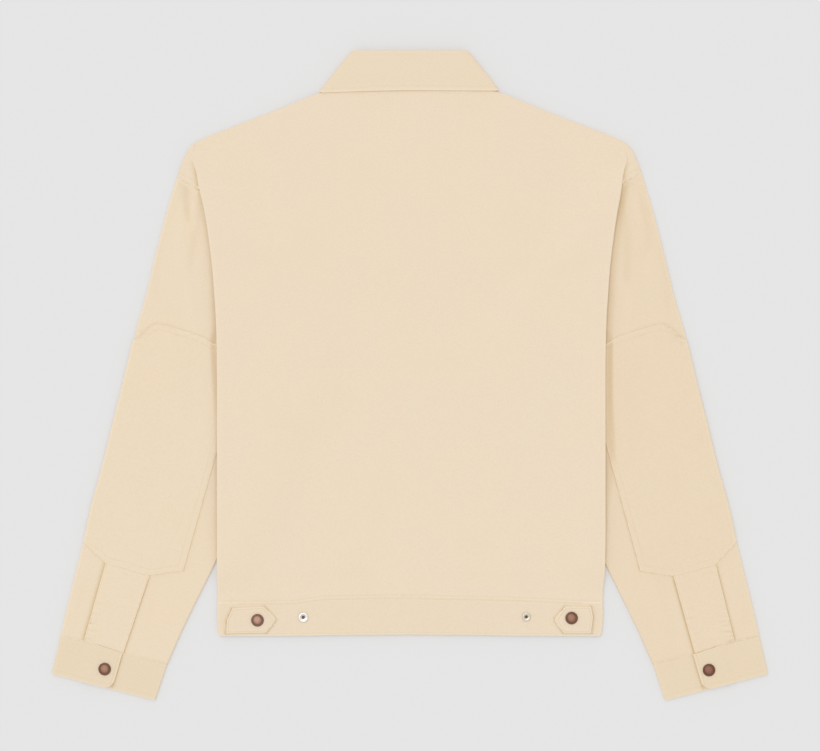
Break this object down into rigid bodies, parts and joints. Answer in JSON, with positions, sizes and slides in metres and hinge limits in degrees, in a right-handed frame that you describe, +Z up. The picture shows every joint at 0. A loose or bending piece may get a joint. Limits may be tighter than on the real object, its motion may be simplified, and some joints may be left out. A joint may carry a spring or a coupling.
{
  "type": "trucker jacket",
  "caption": "Cotton twill trucker jacket laid flat with its back up, sleeves tucked under the sides, with collar, elbow patches, snapped cuffs and a waistband with side tabs.",
  "frame": {"origin": "middle of the laid-out jacket's outline, on the surface that it lies on", "axes": "+X across to the wearer's right sleeve, +Y from the hem to the collar, +Z up out of the surface, through the back panel"},
  "size_m": [0.8598, 0.78, 0.0099],
  "materials": {
    "twill": "cream cotton twill, matt, washed",
    "copper": "antique copper snap caps with a dark rim",
    "steel": "nickel-plated spare studs"
  },
  "bodies": {
    "root": {"back": "twill", "front_left": "twill", "front_right": "twill", "waistband_back": "twill", "waistband_left": "twill", "waistband_right": "twill", "collar_fall": "twill", "collar_stand": "twill", "sleeve_back_left": "twill", "sleeve_front_left": "twill", "elbow_patch_left": "twill", "sleeve_placket_left": "twill", "cuff_left": "twill", "waist_tab_left": "twill", "sleeve_back_right": "twill", "sleeve_front_right": "twill", "elbow_patch_right": "twill", "sleeve_placket_right": "twill", "cuff_right": "twill", "waist_tab_right": "twill", "waist_snap_left": "copper", "cuff_snap_left": "copper", "waist_stud_left": "steel", "waist_snap_right": "copper", "cuff_snap_right": "copper", "waist_stud_right": "steel", "front_snap_1": "copper", "front_snap_2": "copper", "front_snap_3": "copper", "front_snap_4": "copper", "front_snap_5": "copper", "front_snap_6": "copper"}
  },
  "joints": []
}
